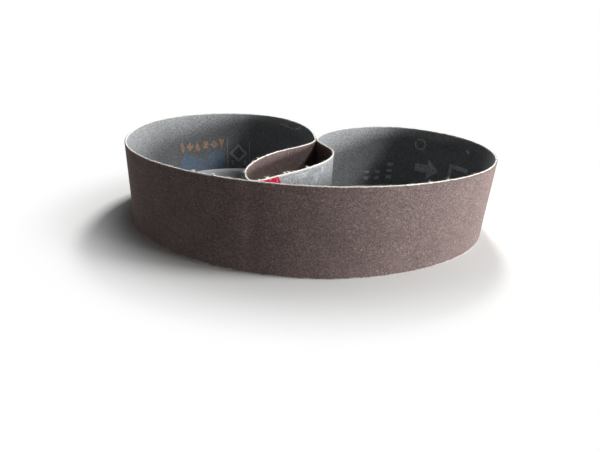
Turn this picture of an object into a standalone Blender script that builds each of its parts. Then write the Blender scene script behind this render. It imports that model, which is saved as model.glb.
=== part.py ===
"""A cloth sanding belt, stood on one edge and coiled by its own spring.

The belt is one endless strip: woven cloth with abrasive grit bonded to its outer face. Seen from above it
makes a left lobe, a long shallow front and a right lobe. Between the lobes the strip is pushed in from the
back to a narrow slanting pocket, whose tip leans on the front wall.

Units are metres, +Z is up. The belt stands on z = 0 and its outer box is centred on the Z axis.
"""
import math

import bpy
import numpy as np

MM = 0.001

# The strip
BELT_LENGTH = 1000 * MM      # once round, along the middle of the strip
BELT_WIDTH = 50 * MM         # the height of the walls as the belt stands
CLOTH_THICKNESS = 0.6 * MM   # woven backing, sized and bonded
GRIT_THICKNESS = 0.5 * MM    # resin coats with the grains

# How it is coiled
CONTACT_GAP = 0.4 * MM       # air left wherever the strip leans on itself
TIP_BEND_RADIUS = 4 * MM     # the tight bend at the tip of the pocket

# Waypoints of the strip's middle line in millimetres, seen from above. The origin is the neck, where the two
# lobes pinch the mouth of the pocket shut; the front is at -Y. Neck and tip are worked out from the gaps.
LEFT_LOBE = [(-8.5, 48), (-38.5, 85), (-85.5, 84.5), (-118.5, 50), (-125, 2), (-111, -44.5), (-77, -79)]
TIP_CONTACT = (-32, -97)
RIGHT_LOBE = [(17, -98), (62.5, -81.5), (99.5, -50), (116.5, -5), (104, 41.5), (63.5, 63.5), (20, 43)]
POCKET_RIGHT = [(9, -26), (5, -52.5), (-10, -75), (-22.5, -89)]
POCKET_LEFT = [(-36, -70.5), (-30.5, -51.5), (-20.5, -34.5), (-8, -18.5)]

# Mesh fineness and the fit to the belt's length
POINTS_PER_SPAN = 20         # steps of the outline between two waypoints
FIT_ROUNDS = 6
LENGTH_TOLERANCE = 0.001 * MM

THICKNESS = CLOTH_THICKNESS + GRIT_THICKNESS
STRAND_PITCH = THICKNESS + CONTACT_GAP   # middle to middle of two strands that lean on each other


def clear_scene():
    """Start from an empty scene."""
    for obj in list(bpy.data.objects):
        bpy.data.objects.remove(obj, do_unlink=True)


def waypoints(scale):
    """The closed row of waypoints at this scale, and the directions that are held at some of them."""
    left, right = (np.array(lobe) * MM * scale for lobe in (LEFT_LOBE, RIGHT_LOBE))
    pocket_in, pocket_out = (np.array(side) * MM * scale for side in (POCKET_RIGHT, POCKET_LEFT))
    contact = np.array(TIP_CONTACT) * MM * scale

    neck_left = np.array([-STRAND_PITCH / 2, 0])
    neck_right = np.array([STRAND_PITCH / 2, 0])

    along = right[0] - left[-1]
    along /= np.linalg.norm(along)
    inward = np.array([-along[1], along[0]])
    tip = contact + STRAND_PITCH * inward
    quarter = math.radians(45)
    tip_right = tip + TIP_BEND_RADIUS * (math.sin(quarter) * along + (1 - math.cos(quarter)) * inward)
    tip_left = tip + TIP_BEND_RADIUS * (inward - along)

    row = [neck_left, *left, contact, *right, neck_right, *pocket_in, tip_right, tip, tip_left, *pocket_out]
    held = {0: (0, 1), len(left) + len(right) + 2: (0, -1)}
    return np.array(row), held


def spring_tangents(points, held):
    """Slopes of a springy strip through the points: its bend never jumps, except where a slope is held."""
    count = len(points)
    span = np.linalg.norm(np.roll(points, -1, axis=0) - points, axis=1)
    stiffness = np.zeros((count, count))
    load = np.zeros((count, 2))
    for i in range(count):
        if i in held:
            stiffness[i, i] = 1
            load[i] = held[i]
            continue
        before, after = span[i - 1], span[i]
        following = (i + 1) % count
        stiffness[i, i - 1] += 1 / before
        stiffness[i, i] += 2 / before + 2 / after
        stiffness[i, following] += 1 / after
        load[i] = 3 * ((points[i] - points[i - 1]) / before**2 + (points[following] - points[i]) / after**2)
    return np.linalg.solve(stiffness, load), span


def draw_strip(spline, scale):
    """Lay a closed Bezier spline through the waypoints at this scale and return its length."""
    points, held = waypoints(scale)
    slopes, span = spring_tangents(points, held)
    for i, knot in enumerate(spline.bezier_points):
        back = points[i] - slopes[i] * span[i - 1] / 3
        ahead = points[i] + slopes[i] * span[i] / 3
        knot.handle_left_type = knot.handle_right_type = 'FREE'
        knot.co = (*points[i], 0)
        knot.handle_left = (*back, 0)
        knot.handle_right = (*ahead, 0)
    return spline.calc_length(resolution=POINTS_PER_SPAN)


def coil_outline():
    """The belt's middle line as a curve object whose closed length is BELT_LENGTH."""
    curve = bpy.data.curves.new("sanding_belt", 'CURVE')
    curve.dimensions = '3D'
    curve.resolution_u = POINTS_PER_SPAN
    spline = curve.splines.new('BEZIER')
    spline.bezier_points.add(len(waypoints(1.0)[0]) - 1)
    spline.use_cyclic_u = True

    scale = 1.0
    for _ in range(FIT_ROUNDS):
        length = draw_strip(spline, scale)
        if abs(length - BELT_LENGTH) < LENGTH_TOLERANCE:
            break
        scale *= BELT_LENGTH / length
    print(f"belt length {length / MM:.3f} mm at a drawing scale of {scale:.5f}")
    return curve


def centre_on_axis(obj):
    """Move the object so that its outer box is centred on the Z axis and stands on z = 0."""
    shaped = obj.evaluated_get(bpy.context.evaluated_depsgraph_get())
    corners = np.array([vertex.co for vertex in shaped.to_mesh().vertices])
    shaped.to_mesh_clear()
    low, high = corners.min(axis=0), corners.max(axis=0)
    obj.location = (-(low[0] + high[0]) / 2, -(low[1] + high[1]) / 2, -low[2])


def coated_cloth():
    """Brown grit on cloth: dry and rough all over."""
    material = bpy.data.materials.new("coated_cloth")
    material.use_nodes = True
    shader = material.node_tree.nodes["Principled BSDF"]
    shader.inputs["Base Color"].default_value = (0.147, 0.107, 0.100, 1)
    shader.inputs["Roughness"].default_value = 0.85
    shader.inputs["Metallic"].default_value = 0.0
    return material


def build_belt(collection):
    """The strip: its middle line raised to the belt's width and thickened evenly to both faces."""
    curve = coil_outline()
    curve.extrude = BELT_WIDTH / 2
    curve.materials.append(coated_cloth())
    belt = bpy.data.objects.new("sanding_belt", curve)
    collection.objects.link(belt)

    wall = belt.modifiers.new("wall", 'SOLIDIFY')
    wall.thickness = THICKNESS
    wall.offset = 0
    wall.use_even_offset = True
    centre_on_axis(belt)
    return belt


def main():
    clear_scene()
    collection = bpy.data.collections.new("sanding_belt")
    bpy.context.scene.collection.children.link(collection)
    build_belt(collection)


main()
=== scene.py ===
# %% [markdown]
# # A sanding belt, coiled on its edge
#
# A sanding belt is an endless strip of coated abrasive. Woven cotton is stiffened with size, and grains are
# set on one face in coats of resin. Cut to width and spliced into a ring, the strip is springy: stood on its
# edge and let go, it makes the two lobes and the narrow pocket between them.
#
# This lesson keeps that route and builds the strip again in its real layers, with its cut edges, loose
# threads, prints and finishes.

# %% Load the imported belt
import math

import bmesh
import bpy
import numpy as np
from mathutils import Matrix, Vector


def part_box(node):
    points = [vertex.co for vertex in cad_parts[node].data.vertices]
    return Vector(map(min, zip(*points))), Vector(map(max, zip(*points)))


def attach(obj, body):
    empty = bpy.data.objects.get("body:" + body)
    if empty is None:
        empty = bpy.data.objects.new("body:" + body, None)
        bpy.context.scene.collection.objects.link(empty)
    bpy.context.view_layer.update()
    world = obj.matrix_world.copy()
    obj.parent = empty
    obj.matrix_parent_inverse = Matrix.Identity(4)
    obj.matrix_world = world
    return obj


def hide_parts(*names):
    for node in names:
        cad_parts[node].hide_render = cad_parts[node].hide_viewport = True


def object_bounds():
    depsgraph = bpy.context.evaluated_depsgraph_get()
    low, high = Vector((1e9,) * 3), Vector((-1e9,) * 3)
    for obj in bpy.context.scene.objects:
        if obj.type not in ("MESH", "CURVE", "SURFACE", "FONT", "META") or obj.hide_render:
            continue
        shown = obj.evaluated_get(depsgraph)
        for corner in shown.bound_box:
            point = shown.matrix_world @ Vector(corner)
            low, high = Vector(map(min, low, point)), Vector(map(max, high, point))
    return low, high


MM = 0.001

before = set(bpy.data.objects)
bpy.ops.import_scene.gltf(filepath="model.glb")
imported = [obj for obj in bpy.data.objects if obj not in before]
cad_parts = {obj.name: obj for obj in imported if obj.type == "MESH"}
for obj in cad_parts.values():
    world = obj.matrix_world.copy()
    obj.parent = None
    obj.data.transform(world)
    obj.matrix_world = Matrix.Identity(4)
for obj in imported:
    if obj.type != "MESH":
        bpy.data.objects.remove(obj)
cad_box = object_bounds()
packed_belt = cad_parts["sanding_belt"]
low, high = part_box("sanding_belt")
BELT_WIDTH = high.z - low.z
print(f"packed belt: {BELT_WIDTH / MM:.1f} mm wide")
print(f"coil: {(high - low).x / MM:.1f} x {(high - low).y / MM:.1f} mm")

# %% [markdown]
# ## The route of the strip
#
# Every layer of the belt follows one line, so that line is read first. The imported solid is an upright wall:
# where its faces meet the top there are two closed rows of points, one for each side of the strip. Halfway
# between them runs the middle line. Taking it from the solid, and not from a new curve, is what makes the
# dressed belt stand exactly where the plain one does.

# %% Walk the upper edges of the wall
def upper_edges(mesh, height):
    """The closed rows of points where this mesh's upright faces meet this height."""
    grid = 0.001 * MM
    neighbours = {}
    for face in mesh.polygons:
        if abs(face.normal.z) > 0.5:      # a flat face, on the top or the bottom
            continue
        corners = [mesh.vertices[index].co for index in face.vertices]
        upper = [corner for corner in corners if corner.z > height - grid]
        ends = [(round(corner.x / grid), round(corner.y / grid)) for corner in upper]
        if len(ends) == 2:
            neighbours.setdefault(ends[0], []).append(ends[1])
            neighbours.setdefault(ends[1], []).append(ends[0])

    rows = []
    while neighbours:
        row = []
        here = next(iter(neighbours))
        while here is not None:
            row.append(here)
            onward = [point for point in neighbours.pop(here) if point in neighbours]
            here = onward[0] if onward else None
        rows.append(np.array(row) * grid)
    return rows


def length_round(points):
    """The length of a closed row of points."""
    return np.linalg.norm(np.roll(points, -1, axis=0) - points, axis=1).sum()


cloth_side, grit_side = sorted(upper_edges(packed_belt.data, BELT_WIDTH), key=length_round)
apart = np.linalg.norm(grit_side[:, None] - cloth_side[None], axis=2)
middle = (grit_side + cloth_side[apart.argmin(axis=1)]) / 2
THICKNESS = float(np.median(apart.min(axis=1)))
print(f"{len(middle)} points on the route, wall {THICKNESS / MM:.2f} mm thick")

# %% [markdown]
# ## Even columns
#
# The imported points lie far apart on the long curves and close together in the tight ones. Frayed edges need
# even steps, so a smooth curve is run through the points and cut again every half millimetre. Places along
# the strip are counted from the pocket, where the glued splice of a belt would hardly show. The splice itself
# is too flat to draw.

# %% Cut the route into even columns
COLUMN_STEP = 0.5 * MM
START = np.array([-26, -46]) * MM      # on the left wall of the pocket, seen from above


def smooth_round(points, finer):
    """A closed Catmull-Rom curve through the points, with this many points for each span."""
    before, after, beyond = (np.roll(points, shift, axis=0) for shift in (1, -1, -2))
    t = (np.arange(finer) / finer)[:, None, None]
    bend = 2 * before - 5 * points + 4 * after - beyond
    twist = 3 * points - before - 3 * after + beyond
    curve = points + 0.5 * ((after - before) * t + bend * t**2 + twist * t**3)
    return curve.transpose(1, 0, 2).reshape(-1, 2)


def signed_area(points):
    """The area inside a closed row of points, above zero if it runs anticlockwise."""
    x, y = points.T
    return 0.5 * np.sum(x * np.roll(y, -1) - y * np.roll(x, -1))


fine = smooth_round(middle, finer=8)
if signed_area(fine) < 0:
    fine = fine[::-1]
fine = np.roll(fine, -np.linalg.norm(fine - START, axis=1).argmin(), axis=0)
steps = np.linalg.norm(np.roll(fine, -1, axis=0) - fine, axis=1)
BELT_LENGTH = float(steps.sum())

COLUMNS = round(BELT_LENGTH / COLUMN_STEP)
run = np.arange(COLUMNS) * BELT_LENGTH / COLUMNS
walked = np.append(0, np.cumsum(steps))
closed = np.vstack([fine, fine[:1]])
line = np.stack([np.interp(run, walked, closed[:, axis]) for axis in (0, 1)], axis=1)
print(f"belt length {BELT_LENGTH / MM:.2f} mm in {COLUMNS} columns")

# %% [markdown]
# ## Where the strip leans on itself
#
# The two lobes pinch the pocket's mouth shut, grit on grit, and the pocket's tip leans on the front wall,
# cloth on cloth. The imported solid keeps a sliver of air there, and light would shine through it. Here both
# strands move half of that sliver towards each other, and less and less further away.

# %% Close the contacts
CONTACT_GAP = 0.4 * MM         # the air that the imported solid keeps
EASE = 3 * MM                  # the strands stay as they are where they are this much further apart
OWN_STRETCH = 30 * MM          # columns this close along the strip are the same strand

between = np.linalg.norm(line[:, None] - line[None], axis=2)
round_trip = np.abs(run[:, None] - run[None])
between[np.minimum(round_trip, BELT_LENGTH - round_trip) < OWN_STRETCH] = np.inf
facing = between.argmin(axis=1)
air = between.min(axis=1) - THICKNESS
share = np.clip(1 - (air - CONTACT_GAP) / EASE, 0, 1)
share = share**2 * (3 - 2 * share)
towards = line[facing] - line
towards /= np.linalg.norm(towards, axis=1)[:, None]
line = line + towards * (share * CONTACT_GAP / 2)[:, None]

heading = np.roll(line, -1, axis=0) - np.roll(line, 1, axis=0)
heading /= np.linalg.norm(heading, axis=1)[:, None]
outward = np.stack([heading[:, 1], -heading[:, 0]], axis=1)      # towards the grit
print(f"{int((share > 0).sum())} columns eased, the least air was {air.min() / MM:.2f} mm")

# %% [markdown]
# ## Places on the strip
#
# From here on a piece is placed in the way a maker would say it: so far along the strip, so high above its
# lower edge, and so far from the middle of its thickness. One function turns that into points in the world.

# %% Find a place on the strip
def on_strip(distance, height, offset):
    """World points at these distances along the strip, heights, and offsets from its middle to the grit."""
    place = [np.interp(distance, run, line[:, axis], period=BELT_LENGTH) for axis in (0, 1)]
    side = [np.interp(distance, run, outward[:, axis], period=BELT_LENGTH) for axis in (0, 1)]
    height = np.broadcast_to(height, np.shape(place[0]))
    return np.stack([place[0] + side[0] * offset, place[1] + side[1] * offset, height], axis=-1)


print("the count starts at", on_strip(0.0, 0.0, 0.0).round(4))

# %% [markdown]
# ## Camera
#
# The photograph was taken from a little above, with a short lens near the belt, and the camera slightly
# tilted. These values were found by laying the belt's rim and lower edge over the picture.

# %% Set up the camera
FOCAL_LENGTH = 25.19          # in mm, on a sensor 36 mm wide
CAMERA_PLACE = Vector((-3.65, -280.05, 111.31)) * MM
LOOKS_DOWN = math.radians(23.78)
TILT = math.radians(2.95)

lens = bpy.data.cameras.new("camera")
lens.sensor_width = 36
lens.lens = FOCAL_LENGTH
camera = bpy.data.objects.new("camera", lens)
bpy.context.scene.collection.objects.link(camera)
turned = Matrix.Rotation(math.radians(90) - LOOKS_DOWN, 4, 'X') @ Matrix.Rotation(TILT, 4, 'Z')
camera.matrix_world = Matrix.Translation(CAMERA_PLACE) @ turned
bpy.context.scene.camera = camera
print(f"camera {CAMERA_PLACE.length / MM:.0f} mm from the middle of the coil's foot")

# %% [markdown]
# ## Two bonded layers
#
# Cut a belt across and there are two layers: the cloth, and the coat of resin and grain. They part only at
# the cut edges, where the slitting knife chips the brittle coat back and leaves a narrow band of bare cotton.
# That pale band outlines the whole belt, so both layers are modelled, each as a closed skin: up one face,
# over the edge, down the other face and under. Rows of points lie close together near the edges, where the
# shape changes, and far apart in between.

# %% The skin of one layer
EDGE_ROWS = np.array([0, 0.25, 1, 3, 8, 16]) * MM      # distances of the rows of points from a cut edge
ROWS = np.concatenate([EDGE_ROWS, [BELT_WIDTH / 2], (BELT_WIDTH - EDGE_ROWS)[::-1]]) / BELT_WIDTH

random = np.random.default_rng(7)


def uneven(pitch, least, most):
    """A random value for each column, even over this pitch, that meets itself where the ring closes."""
    knots = random.uniform(least, most, round(BELT_LENGTH / pitch))
    places = np.arange(len(knots)) * BELT_LENGTH / len(knots)
    return np.interp(run, places, knots, period=BELT_LENGTH)


def layer(name, inner, outer, bottom, top, rounding):
    """A closed skin between two offsets and two cut edges, as an object with a map in metres."""
    rise = bottom[:, None] + rounding + (top - bottom - 2 * rounding)[:, None] * ROWS[None]
    offsets = np.concatenate([np.full(len(ROWS), inner), [(inner + outer) / 2],
                              np.full(len(ROWS), outer), [(inner + outer) / 2]])
    heights = np.hstack([rise, top[:, None], rise[:, ::-1], bottom[:, None]])
    offsets = np.broadcast_to(offsets, heights.shape)
    side = line[:, None] + outward[:, None] * offsets[:, :, None]
    points = np.concatenate([side, heights[:, :, None]], axis=2)

    columns, rows = heights.shape
    i, j = np.meshgrid(np.arange(columns), np.arange(rows), indexing='ij')
    ahead, above = (i + 1) % columns, (j + 1) % rows
    corners = [(i, j), (ahead, j), (ahead, above), (i, above)]
    faces = np.stack([a * rows + b for a, b in corners], axis=2).reshape(-1, 4)
    distances = np.stack([i, i + 1, i + 1, i], axis=2) * BELT_LENGTH / columns
    levels = np.stack([heights[a, b] for a, b in corners], axis=2)

    mesh = bpy.data.meshes.new(name)
    mesh.from_pydata(points.reshape(-1, 3).tolist(), [], faces.tolist())
    mesh.uv_layers.new(name="strip").uv.foreach_set("vector", np.stack([distances, levels], axis=3).ravel())
    mesh.shade_smooth()
    mesh.set_sharp_from_angle(angle=math.radians(50))
    piece = bpy.data.objects.new(name, mesh)
    bpy.context.scene.collection.objects.link(piece)
    print(f"{name}: {len(mesh.polygons) * 2} triangles")
    return piece


# %% [markdown]
# ## The cloth
#
# The backing of a belt is heavy cotton twill. Its threads are cut through at both edges and fluff up a
# little, so the upper edge wavers by up to three tenths of a millimetre. The lower edge carries the belt and
# wavers by one tenth. The skin's corners are rounded by a little less than that.

# %% Build the cloth
CLOTH_THICKNESS = 0.6 * MM
CLOTH_FACE = -THICKNESS / 2                        # offset of the printed face
BOND = CLOTH_FACE + CLOTH_THICKNESS                # offset where the coat starts
ROUNDING = 0.08 * MM                               # at the corners of both layers

cloth_top = BELT_WIDTH - uneven(1.2 * MM, 0, 0.22 * MM) - uneven(9 * MM, 0, 0.08 * MM)
cloth_bottom = uneven(0.7 * MM, 0, 0.1 * MM)
cloth = layer("cloth_backing", CLOTH_FACE, BOND, cloth_bottom, cloth_top, ROUNDING)

# %% [markdown]
# Bare cotton shows where the knife went through. A number is kept at each point of the skin, 1 on the cut
# and on the side under the coat, 0 on the sized face, and the material later blends by it. Over the last
# millimetre before the cut the sized face is made paler too: a painted highlight that widens the lit rim.

# %% Mark the cut edges of the cloth and paint a highlight beside them
PAINTED_EDGE_HIGHLIGHT = 0.6                 # the share of cut-cotton colour painted as a highlight at the row next to the cut

face_rows = len(ROWS)
bare = np.concatenate([np.zeros(face_rows), [1], np.ones(face_rows), [1]])
bare[[0, face_rows - 1]] = 1
# the rows next to the cut carry a painted highlight, not bare cotton
bare[[1, face_rows - 2]] = PAINTED_EDGE_HIGHLIGHT
marks = cloth.data.attributes.new("bare_cotton_and_painted_highlight", 'FLOAT', 'POINT')
marks.data.foreach_set("value", np.tile(bare, COLUMNS).astype(np.float32))
print(f"bare cotton on {int(bare.sum())} of {len(bare)} rows")

# %% [markdown]
# ## The coat
#
# The coat is brittle, so its edge is a chipped line and not a smooth one: a fine crumble of single grains on
# top of longer, shallow bites. Adding two uneven lines of different pitch gives that.

# %% Build the coat
CHIP_DEPTH = 0.52 * MM         # on average
LEAST_CHIP = 0.15 * MM
CRUMBLE = 0.17 * MM            # how far single grains stray from the line, either way
BITE = 0.12 * MM               # the same for the longer bites


def chipped():
    """How far the coat is chipped back from the cut edge, for each column."""
    crumble = uneven(0.5 * MM, -CRUMBLE, CRUMBLE)
    bites = uneven(4 * MM, -BITE, BITE)
    return np.clip(CHIP_DEPTH + crumble + bites, LEAST_CHIP, None)


coat = layer("abrasive_coat", BOND, THICKNESS / 2, chipped(), BELT_WIDTH - chipped(), ROUNDING)

# %% [markdown]
# ## Loose fibres
#
# Cut cotton never ends clean. Short hairs stand up all along the edge, and here and there the knife has
# pulled a tuft of thread. A particle system could grow them, but small tubes in one mesh keep the same shape
# in every program. Each fibre is a three-sided tube that bends as it rises and ends in a point.

# %% Grow the fibres
FIBRE_RINGS = 4
ROOT_DEPTH = 0.1 * MM          # how far below the edge a fibre starts
HAIRS = 1400

fibre_points = []
fibre_faces = []


def grow(root, lean, curl, length, thickness):
    """Add one fibre: a tube from its root along a leaning, curling line."""
    start = len(fibre_points)
    for ring in range(FIBRE_RINGS):
        share = ring / FIBRE_RINGS
        centre = root + (lean * share + curl * share**2) * length
        for corner in range(3):
            angle = math.tau * corner / 3 + share
            radius = thickness / 2 * (1 - 0.5 * share)
            fibre_points.append(centre + radius * np.array([math.cos(angle), math.sin(angle), 0]))
    fibre_points.append(root + (lean + curl) * length)
    tip = len(fibre_points) - 1
    fibre_faces.append((start + 2, start + 1, start))
    for ring in range(FIBRE_RINGS - 1):
        for corner in range(3):
            a = start + 3 * ring + corner
            b = start + 3 * ring + (corner + 1) % 3
            fibre_faces.append((a, b, b + 3, a + 3))
    for corner in range(3):
        fibre_faces.append((tip - 3 + corner, tip - 3 + (corner + 1) % 3, tip))


def fibres_at(distance, spread, count, length, thickness):
    """A group of fibres on the upper edge around this distance along the strip."""
    for _ in range(count):
        place = distance + random.uniform(-spread, spread)
        edge = np.interp(place, run, cloth_top, period=BELT_LENGTH)
        root = on_strip(place, edge - ROOT_DEPTH, random.uniform(CLOTH_FACE, BOND) * 0.8)
        lean = np.array([*random.normal(0, 0.5, 2), 1])
        curl = np.array([*random.normal(0, 0.5, 2), -0.2])
        grow(root, lean, curl, length * random.uniform(0.5, 1.3), thickness)


for place in random.uniform(0, BELT_LENGTH, HAIRS):
    fibres_at(place, spread=0, count=1, length=0.45 * MM, thickness=0.09 * MM)
print(f"{len(fibre_points)} fibre points")

# %% [markdown]
# The tufts sit where the photograph shows them, most of them on the pocket's walls. A tuft is a pinch of
# thicker yarn ends. Smaller ones are scattered all round the belt.

# %% Add the tufts
TUFTS_MM = [916.2, 930.6, 933.4, 945.2, 965.3, 986, 992, 419, 431, 540, 552, 575]   # along the strip
SMALL_TUFTS = 140

for place in TUFTS_MM:
    fibres_at(place * MM, spread=0.8 * MM, count=20, length=1.2 * MM, thickness=0.22 * MM)
for place in random.uniform(0, BELT_LENGTH, SMALL_TUFTS):
    fibres_at(place, spread=0.5 * MM, count=6, length=0.6 * MM, thickness=0.16 * MM)

fibre_mesh = bpy.data.meshes.new("edge_fibres")
fibre_mesh.from_pydata([list(point) for point in fibre_points], [], fibre_faces)
fibres = bpy.data.objects.new("edge_fibres", fibre_mesh)
bpy.context.scene.collection.objects.link(fibres)
print(f"{len(fibre_mesh.polygons)} faces of fibre")

# %% [markdown]
# ## Prints
#
# Makers print the cloth side. This belt carries plain shapes: fields of colour, small marks, and an arrow for
# the way it has to run. A print could be masked into the cloth's material. A film as thin as ink is clearer
# to build and keeps its edges crisp: each shape is drawn flat, in millimetres along and up the strip, cut
# into narrow pieces so that it can bend, and laid on the cloth.

# %% Draw flat shapes
def bar(along, height, length, thickness, turn=0):
    """A rectangle round its middle, turned by this many degrees."""
    c, s = math.cos(math.radians(turn)), math.sin(math.radians(turn))
    halves = [(-1, -1), (1, -1), (1, 1), (-1, 1)]
    sides = [(x * length / 2, y * thickness / 2) for x, y in halves]
    return [[(along + x * c - y * s, height + x * s + y * c) for x, y in sides]]


def ring(along, height, radius, width, pieces=20):
    """A ring, as a row of small pieces."""
    angles = [math.tau * i / pieces for i in range(pieces + 1)]
    spots = [[(along + r * math.cos(a), height + r * math.sin(a)) for a in angles]
             for r in (radius - width, radius)]
    return [[spots[0][i], spots[1][i], spots[1][i + 1], spots[0][i + 1]] for i in range(pieces)]


def arrow(along, height, length, thickness):
    """An arrow that points back along the strip."""
    head = length * 0.48
    barb = thickness * 1.25
    tip = along - length / 2
    return [[(tip, height), (tip + head, height - barb), (tip + head, height + barb)],
            *bar(along + head / 2, height, length - head, thickness)]


print("an arrow is drawn from", len(arrow(0, 0, 10, 5)), "pieces")

# %% Lay the shapes on the cloth
INK_PROUD = 0.03 * MM
BEND_STEP = 1.0      # the widest piece of a print along the strip, in mm


def lay_print(name, shapes):
    """A thin closed film on the cloth from flat shapes in millimetres along and up the strip."""
    flat = bmesh.new()
    for shape in shapes:
        flat.faces.new([flat.verts.new((along, height, 0)) for along, height in shape])
    bmesh.ops.remove_doubles(flat, verts=flat.verts, dist=0.01)
    reach = [vertex.co.x for vertex in flat.verts]
    for cut in np.arange(math.floor(min(reach)) + BEND_STEP, max(reach), BEND_STEP):
        everything = [*flat.verts, *flat.edges, *flat.faces]
        bmesh.ops.bisect_plane(flat, geom=everything, plane_co=(cut, 0, 0), plane_no=(1, 0, 0))
    for face in flat.faces:
        if face.normal.z > 0:
            face.normal_flip()
    uv = flat.loops.layers.uv.new("strip")
    for face in flat.faces:
        for corner in face.loops:
            corner[uv].uv = corner.vert.co.xy * MM
    for vertex in flat.verts:
        vertex.co = on_strip(vertex.co.x * MM, vertex.co.y * MM, CLOTH_FACE - INK_PROUD)
    mesh = bpy.data.meshes.new(name)
    flat.to_mesh(mesh)
    flat.free()
    film = bpy.data.objects.new(name, mesh)
    bpy.context.scene.collection.objects.link(film)
    body = film.modifiers.new("ink", 'SOLIDIFY')
    body.thickness = 2 * INK_PROUD
    print(f"{name}: {len(mesh.polygons)} faces")
    return film


# %% [markdown]
# In the left lobe a dull blue field lies under a row of small orange shapes, with two thin upright lines and
# a pale diamond beside them. In the right lobe the marks are pale: a ring, an arrow, an open frame and
# columns of small strokes. The pocket's near wall has a crimson field and faint bands.

# %% Print the left lobe
blue_shapes = [
    [(250, 1), (229, 1), (229, 15), (237, 18), (244, 8)],
    [(229, 1), (212, 1), (218, 11), (229, 13)],
    [(212, 1), (199, 1), (199, 14), (208, 18), (215, 12)],
]
ORANGE_HEIGHT = 23
orange_shapes = [
    *bar(239, ORANGE_HEIGHT, 3.2, 9, turn=-12),
    *bar(231.5, ORANGE_HEIGHT, 5.4, 5.4, turn=45),
    [(221.5, ORANGE_HEIGHT - 4.5), (227.5, ORANGE_HEIGHT - 4.5), (224.5, ORANGE_HEIGHT + 4.5)],
    *bar(216.5, ORANGE_HEIGHT, 4.6, 6.0),
    *bar(208.5, ORANGE_HEIGHT, 5.4, 5.4, turn=45),
    [(204.5, ORANGE_HEIGHT + 4.5), (199.5, ORANGE_HEIGHT + 4.5), (202, ORANGE_HEIGHT - 4.5)],
]
pale_left = [
    *bar(196.8, 15, 0.6, 26),
    *bar(177.0, 15, 0.6, 22),
    *ring(187, 14.5, 8.5, 3.2, pieces=4),
    *bar(181, 6, 1.8, 4),
    *bar(192.5, 6, 1.8, 4),
    *bar(137, 44, 18, 0.8, turn=4),
    *bar(120, 45.5, 12, 0.8, turn=-18),
]
blue_print = lay_print("blue_print", blue_shapes)
orange_print = lay_print("orange_print", orange_shapes)

# %% Print the right lobe and the pocket
stroke_columns = [(761, 9, 2), (751.5, 9, 2), (741, 13, 3)]
column_strokes = [shape for along, height, count in stroke_columns for k in range(count)
                  for shape in bar(along, height + 5.5 * (k - count / 2 + 0.5), 4.5, 3.2 - k % 2)]
pale_right = [
    *ring(718.5, 38, 4.6, 1.1),
    *arrow(710, 19, 20, 6.6),
    *bar(680.5, 27.0, 20, 3.2, turn=-3),
    *bar(680.5, 16.0, 20, 3.2, turn=-3),
    *bar(689, 21.5, 3.0, 8.6),
    *bar(674.5, 41.5, 4, 2.4, turn=20),
    *column_strokes,
]
strand_shapes = [
    *bar(911, 38, 5.0, 16, turn=38),
    *bar(901, 44.5, 5.0, 5.0, turn=38),
    *bar(921, 46.6, 10, 3.0),
]
crimson_shapes = [[(956, 36), (931, 36), (938, 49.4), (956, 49.4)]]
pale_print = lay_print("pale_print", pale_left + pale_right)
strand_print = lay_print("strand_print", strand_shapes)
crimson_print = lay_print("crimson_print", crimson_shapes)

# %% [markdown]
# ## Colours and nodes
#
# Colours are written as they are read from a picture, in sRGB hex, and turned to the linear values that
# Blender's sockets take. Each material is a small tree of nodes, so one function adds a node with its
# settings, and with numbers or links on its inputs. Grit, cloth and paper are dry and gloss far less than
# the shader's usual specular level of 0.5, so each material gets a low level of its own.

# %% Helpers for materials
def linear(hex_colour):
    """An sRGB hex colour as linear red, green, blue and alpha."""
    shares = [int(hex_colour[place:place + 2], 16) / 255 for place in (1, 3, 5)]
    return [*(c / 12.92 if c <= 0.04045 else ((c + 0.055) / 1.055)**2.4 for c in shares), 1]


def add(tree, kind, inputs=None, **settings):
    """Add a node of this kind; an input is a plain value or the output socket of another node."""
    node = tree.nodes.new(kind)
    for name, value in settings.items():
        setattr(node, name, value)
    for name, value in (inputs or {}).items():
        if isinstance(value, bpy.types.NodeSocket):
            tree.links.new(value, node.inputs[name])
        else:
            node.inputs[name].default_value = value
    return node


MIX_A, MIX_B, MIX_RESULT = 6, 7, 2      # the colour sockets of a Mix node


def new_material(name, roughness, ior, gloss):
    """A material with its surface shader, and the tree it stands in; gloss is the shader's specular level."""
    material = bpy.data.materials.new(name)
    material.use_nodes = True
    surface = material.node_tree.nodes["Principled BSDF"]
    surface.inputs["Roughness"].default_value = roughness
    surface.inputs["IOR"].default_value = ior
    surface.inputs["Specular IOR Level"].default_value = gloss
    return material, material.node_tree, surface


print("mid grey in linear values:", [round(value, 3) for value in linear("#808080")])

# %% [markdown]
# ## Brown aluminium oxide in resin
#
# The grains are brown fused aluminium oxide, about a quarter of a millimetre across, half sunk in phenolic
# resin, whose IOR is about 1.6. The eye sees a dry, matt, reddish grey-brown with a fine crumb: dark resin
# between the grains, and now and then a pale grain. Such grains are finer than the render can show, so they
# are drawn at four tenths of a millimetre. A Voronoi pattern gives each grain its own cell: the cell's random
# colour tints the grain, and the distance to its middle raises it.

# %% Make the grit
GRAIN = 0.42 * MM              # really about 0.25 mm; drawn coarser so that it shows
MOTTLE = 14 * MM               # slow changes of tone over the strip
GRAIN_RELIEF = 0.10 * MM

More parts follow.
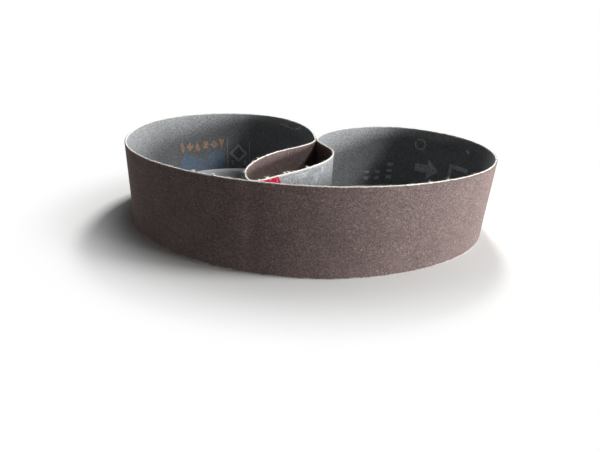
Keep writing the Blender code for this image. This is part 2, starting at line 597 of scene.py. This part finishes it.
grit, tree, surface = new_material("aluminium_oxide_grit", roughness=0.75, ior=1.6, gloss=0.1)
place = add(tree, "ShaderNodeTexCoord").outputs["Object"]
cells = add(tree, "ShaderNodeTexVoronoi", {"Vector": place, "Scale": 1 / GRAIN})
chance = add(tree, "ShaderNodeSeparateColor", {"Color": cells.outputs["Color"]}).outputs["Red"]
tone = add(tree, "ShaderNodeValToRGB", {"Fac": chance})
stops = tone.color_ramp.elements
stops[0].color, stops[1].color = linear("#5a4b48"), linear("#d0c6bf")
for position, colour in [(0.3, "#6f5f5c"), (0.7, "#7e6d6a"), (0.96, "#8f807f"), (0.9998, "#968786")]:
    stops.new(position).color = linear(colour)
slow = add(tree, "ShaderNodeTexNoise", {"Vector": place, "Scale": 1 / MOTTLE, "Detail": 3.0})
slow_tone = add(tree, "ShaderNodeMapRange", {"Value": slow.outputs["Fac"], "From Min": 0.3, "From Max": 0.7,
                                             "To Min": 0.9, "To Max": 1.08})
mottled = add(tree, "ShaderNodeMix", {0: 1.0, MIX_A: tone.outputs["Color"], MIX_B: slow_tone.outputs[0]},
              data_type='RGBA', blend_type='MULTIPLY')
tree.links.new(mottled.outputs[MIX_RESULT], surface.inputs["Base Color"])
relief = add(tree, "ShaderNodeMath", {0: 1.0, 1: cells.outputs["Distance"]}, operation='SUBTRACT')
raised = add(tree, "ShaderNodeBump", {"Height": relief.outputs[0], "Strength": 0.6, "Distance": GRAIN_RELIEF})
tree.links.new(raised.outputs["Normal"], surface.inputs["Normal"])
coat.data.materials.append(grit)
print(f"{grit.name}: grains drawn {GRAIN / MM:.2f} mm across")

# %% [markdown]
# ## Sized cotton twill
#
# The cloth is cotton twill, with an IOR near 1.5, filled with grey size that makes it stiff. Its threads are
# about 0.4 mm apart and swell and thin as they run, so the size lies on it in small light and dark flecks.
# Two Wave textures on the map, which is in metres along and up the strip, draw the threads that run along it
# and the slanting ribs of the twill. Two Noise textures, one stretched along the strip and one across it,
# draw the flecks, and a third draws larger blotches. The pattern is twice as coarse as the real one, so that
# it shows.

# %% Draw a twill weave
THREAD = 0.8 * MM              # really about 0.4 mm from thread to thread
FLECKS = [                     # how wide and tall light and dark places are, and how much each kind counts
    (2.2 * MM, 0.9 * MM, 1.2),
    (0.9 * MM, 2.0 * MM, 1.2),
    (7.0 * MM, 7.0 * MM, 0.4),
]
THREADS_COUNT = 0.16           # how much the threads count in the pattern, beside the flecks
DARKEST = -1.06                # what is added to the whole, so that it runs from about 0 to 1

WAVE_BAND = math.tau / 20      # a Wave texture's period at a scale of 1
WAVE_DIAGONAL = math.tau / 10  # the same for diagonal bands


def twill(tree):
    """The height of a twill weave, from about 0 in the gaps to 1 on the thick threads."""
    flat = add(tree, "ShaderNodeUVMap", uv_map="strip").outputs["UV"]
    threads = add(tree, "ShaderNodeTexWave", {"Vector": flat, "Scale": WAVE_BAND / THREAD, "Distortion": 1.5,
                                              "Detail": 1.0}, bands_direction='Y')
    ribs = add(tree, "ShaderNodeTexWave", {"Vector": flat, "Scale": WAVE_DIAGONAL / (1.6 * THREAD),
                                           "Distortion": 2.0, "Detail": 1.0}, bands_direction='DIAGONAL')
    total = add(tree, "ShaderNodeMath", {0: threads.outputs["Fac"], 1: ribs.outputs["Fac"]}, operation='ADD')
    weave = add(tree, "ShaderNodeMath", {0: total.outputs[0], 1: THREADS_COUNT, 2: DARKEST},
                operation='MULTIPLY_ADD')
    for wide, tall, share in FLECKS:
        stretched = add(tree, "ShaderNodeVectorMath", {0: flat, 1: (1 / wide, 1 / tall, 1)},
                        operation='MULTIPLY')
        fleck = add(tree, "ShaderNodeTexNoise", {"Vector": stretched.outputs["Vector"], "Scale": 1.0,
                                                 "Detail": 1.0})
        weave = add(tree, "ShaderNodeMath", {0: fleck.outputs["Fac"], 1: share, 2: weave.outputs[0]},
                    operation='MULTIPLY_ADD')
    return weave.outputs[0]


def woven_surface(name, gap_colour, thread_colour, roughness):
    """Cotton cloth of these two colours, and the nodes that a later step may blend into."""
    material, tree, surface = new_material(name, roughness, ior=1.5, gloss=0.05)
    weave = twill(tree)
    colour = add(tree, "ShaderNodeMix", {0: weave, MIX_A: linear(gap_colour), MIX_B: linear(thread_colour)},
                 data_type='RGBA')
    tree.links.new(colour.outputs[MIX_RESULT], surface.inputs["Base Color"])
    raised = add(tree, "ShaderNodeBump", {"Height": weave, "Strength": 0.5, "Distance": 0.12 * MM})
    tree.links.new(raised.outputs["Normal"], surface.inputs["Normal"])
    return material, tree, surface, colour


# %% Make the cloth
SIZE_GAP, SIZE_THREAD, CUT_COTTON = "#76787a", "#b6b8ba", "#f7f3ea"

sized_twill, tree, surface, colour = woven_surface("sized_cotton_twill", SIZE_GAP, SIZE_THREAD, roughness=0.8)
# cut cotton on the edges, and beside them a painted highlight in the same cream
bare_and_highlight_share = add(tree, "ShaderNodeAttribute", attribute_name="bare_cotton_and_painted_highlight").outputs["Fac"]
cotton = add(tree, "ShaderNodeMix", {0: bare_and_highlight_share, MIX_A: colour.outputs[MIX_RESULT],
                                     MIX_B: linear(CUT_COTTON)}, data_type='RGBA')
tree.links.new(cotton.outputs[MIX_RESULT], surface.inputs["Base Color"])
cloth.data.materials.append(sized_twill)
print(sized_twill.name, "has", len(tree.nodes), "nodes")

# %% [markdown]
# ## Raw cotton
#
# The loose fibres are undyed cotton: cream, soft and matt, with a faint sheen where light grazes them. Noise
# in patches of two millimetres keeps them from looking like one piece.

# %% Make the fibres
raw_cotton, tree, surface = new_material("raw_cotton", roughness=0.9, ior=1.5, gloss=0.1)
place = add(tree, "ShaderNodeTexCoord").outputs["Object"]
patches = add(tree, "ShaderNodeTexNoise", {"Vector": place, "Scale": 1 / (2 * MM), "Detail": 2.0})
cream = add(tree, "ShaderNodeMix", {0: patches.outputs["Fac"], MIX_A: linear("#efe8da"),
                                    MIX_B: linear("#fdfaf4")}, data_type='RGBA')
tree.links.new(cream.outputs[MIX_RESULT], surface.inputs["Base Color"])
surface.inputs["Sheen Weight"].default_value = 0.3
fibres.data.materials.append(raw_cotton)
print(raw_cotton.name, "made")

# %% [markdown]
# ## Printing ink
#
# Screen ink sits on the threads and leaves the gaps between them half bare, so the weave still shows through
# it. Each ink is the same twill: its own colour on the threads, and a darker, duller tone of it in the gaps.
# The print was never even, and rubbing wears it, so in patches the cloth's own tone comes back. The last
# number of each ink says how much of it has gone, on the scale of the Noise texture that draws the patches.

# %% Make the inks
WORN_PATCH = 2.2 * MM
WORN_EDGE = (-0.06, 0.1)       # how softly a patch ends, on the same scale
CLOTH_TONE = "#999b9d"
INKS = [
    (blue_print, "blue_ink", "#7a90ae", "#abc0dd", 0.38),
    (orange_print, "orange_ink", "#ccac98", "#ffcfac", 0.38),
    (pale_print, "pale_ink", "#bac0c2", "#eceff1", 0.34),
    (strand_print, "faint_ink", "#8f9496", "#c8ccd0", 0.42),
    (crimson_print, "crimson_ink", "#8a1230", "#cc2c4c", 0.28),
]
for film, name, gap_colour, thread_colour, gone in INKS:
    ink, tree, surface, colour = woven_surface(name, gap_colour, thread_colour, roughness=0.7)
    place = add(tree, "ShaderNodeTexCoord").outputs["Object"]
    patches = add(tree, "ShaderNodeTexNoise", {"Vector": place, "Scale": 1 / WORN_PATCH, "Detail": 3.0})
    left = add(tree, "ShaderNodeMapRange", {"Value": patches.outputs["Fac"], "From Min": gone + WORN_EDGE[0],
                                            "From Max": gone + WORN_EDGE[1]})
    worn = add(tree, "ShaderNodeMix", {0: left.outputs["Result"], MIX_A: linear(CLOTH_TONE),
                                       MIX_B: colour.outputs[MIX_RESULT]}, data_type='RGBA')
    tree.links.new(worn.outputs[MIX_RESULT], surface.inputs["Base Color"])
    film.data.materials.append(ink)
    print(name, "on", film.name)

# %% [markdown]
# ## Floor and background
#
# The belt stands on plain white paper. Near the belt the paper is an ordinary matt surface, so it keeps the
# belt's shadow. Further away the camera sees it turn to even white, which runs into the white background
# without a horizon.
#
# Paper this white would throw a lot of light up into the lobes, and they are dark inside. So the paper is
# white only where it is seen, directly or in a gloss, and nearly black to the light that bounces about. The
# Light Path node tells the two apart.

# %% Tell what is seen from what bounces
def seen(tree):
    """1 where a surface is seen by the camera, in a gloss or through glass, and 0 for light that bounces."""
    path = add(tree, "ShaderNodeLightPath")
    looks = path.outputs["Is Camera Ray"]
    for kind in ("Is Glossy Ray", "Is Transmission Ray"):
        looks = add(tree, "ShaderNodeMath", {0: looks, 1: path.outputs[kind]}, operation='MAXIMUM').outputs[0]
    return looks


print("three kinds of ray count as seen")

# %% Lay the floor
FLOOR_SIZE = 8.0
COIL_HALF = (cad_box[1] - cad_box[0]) / 2
FADE_START, FADE_END = 0.95, 1.6      # in half sizes of the coil, from its middle
BOUNCE = 0.04                         # how much light the paper throws back on the belt

bpy.ops.mesh.primitive_plane_add(size=FLOOR_SIZE)
floor = bpy.context.object
floor.name = "floor"
paper, tree, surface = new_material("white_paper", roughness=0.95, ior=1.45, gloss=0.0)
surface.inputs["Base Color"].default_value = linear("#f6f6f4")
place = add(tree, "ShaderNodeTexCoord").outputs["Object"]
shares = (1 / COIL_HALF.x, 1 / COIL_HALF.y, 0)
scaled = add(tree, "ShaderNodeVectorMath", {0: place, 1: shares}, operation='MULTIPLY')
away = add(tree, "ShaderNodeVectorMath", {0: scaled.outputs["Vector"]}, operation='LENGTH')
fade = add(tree, "ShaderNodeMapRange", {"Value": away.outputs["Value"], "From Min": FADE_START,
                                        "From Max": FADE_END}, interpolation_type='SMOOTHSTEP')
white = add(tree, "ShaderNodeEmission", {"Strength": 1.0})
seen_paper = add(tree, "ShaderNodeMixShader", {0: fade.outputs["Result"], 1: surface.outputs[0],
                                               2: white.outputs[0]})
dim = add(tree, "ShaderNodeBsdfDiffuse", {"Color": (BOUNCE, BOUNCE, BOUNCE, 1)})
choice = add(tree, "ShaderNodeMixShader", {0: seen(tree), 1: dim.outputs[0], 2: seen_paper.outputs[0]})
tree.links.new(choice.outputs[0], tree.nodes["Material Output"].inputs["Surface"])
floor.data.materials.append(paper)
print(f"floor {FLOOR_SIZE} m wide")

# %% [markdown]
# ## Light
#
# A wide soft lamp stands low on the right, like a window, with a weaker one high above it. They make the
# right end of the belt bright, graze the long front and light only the walls inside the lobes that face them.
# A lamp from behind, halfway up, lights the cut edges, while the floor inside the lobes stays in the shadow
# of the back walls. A very weak lamp low in front and a very weak sky keep the dark end readable. The sky is
# weak only in the light that it sheds: seen directly, or in a gloss, it is plain white.

# %% Light the belt
def soft_lamp(name, azimuth, elevation, distance, width, height, level):
    """An oblong lamp that gives this level of light at the middle of the belt, on a face turned to it."""
    around, up = math.radians(azimuth), math.radians(elevation)
    direction = Vector((math.sin(around) * math.cos(up), -math.cos(around) * math.cos(up), math.sin(up)))
    light = bpy.data.lights.new(name, 'AREA')
    light.shape = 'RECTANGLE'
    light.size, light.size_y = width, height
    light.energy = level * (math.pi * distance)**2
    lamp = bpy.data.objects.new(name, light)
    lamp.location = Vector((0, 0, BELT_WIDTH / 2)) + direction * distance
    lamp.rotation_euler = (math.radians(90 - elevation), 0, around)
    bpy.context.scene.collection.objects.link(lamp)
    print(f"{name}: {light.energy:.1f} W")


soft_lamp("window_light", azimuth=77, elevation=4, distance=1.0, width=0.6, height=0.3, level=1.96)
soft_lamp("upper_window_light", azimuth=84, elevation=38, distance=1.2, width=0.25, height=0.25, level=0.45)
soft_lamp("rim_light", azimuth=170, elevation=47, distance=1.2, width=0.22, height=0.22, level=1.05)
soft_lamp("fill_light", azimuth=-15, elevation=2, distance=1.0, width=0.08, height=0.08, level=0.13)

# %% Set the sky
SKY = 0.005
world = bpy.data.worlds.new("studio")
bpy.context.scene.world = world
world.use_nodes = True
tree = world.node_tree
level = add(tree, "ShaderNodeMapRange", {"Value": seen(tree), "To Min": SKY, "To Max": 1.0})
background = tree.nodes["Background"]
background.inputs["Color"].default_value = (1, 1, 1, 1)
tree.links.new(level.outputs["Result"], background.inputs["Strength"])
print(f"sky light {SKY} on the belt")

# %% [markdown]
# ## One body
#
# Every piece moves with the belt's one body. Uncoiled, the cloth would be a sheet 50 mm wide and 1 m long,
# with the coat, the prints and the fibres on it.

# %% Join the pieces to the belt
on_the_cloth = [coat, fibres, blue_print, orange_print, pale_print, strand_print, crimson_print]
for piece in [cloth, *on_the_cloth]:
    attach(piece, "root")
    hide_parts("sanding_belt")

# %% Show colours as they are written
bpy.context.scene.view_settings.view_transform = 'Standard'
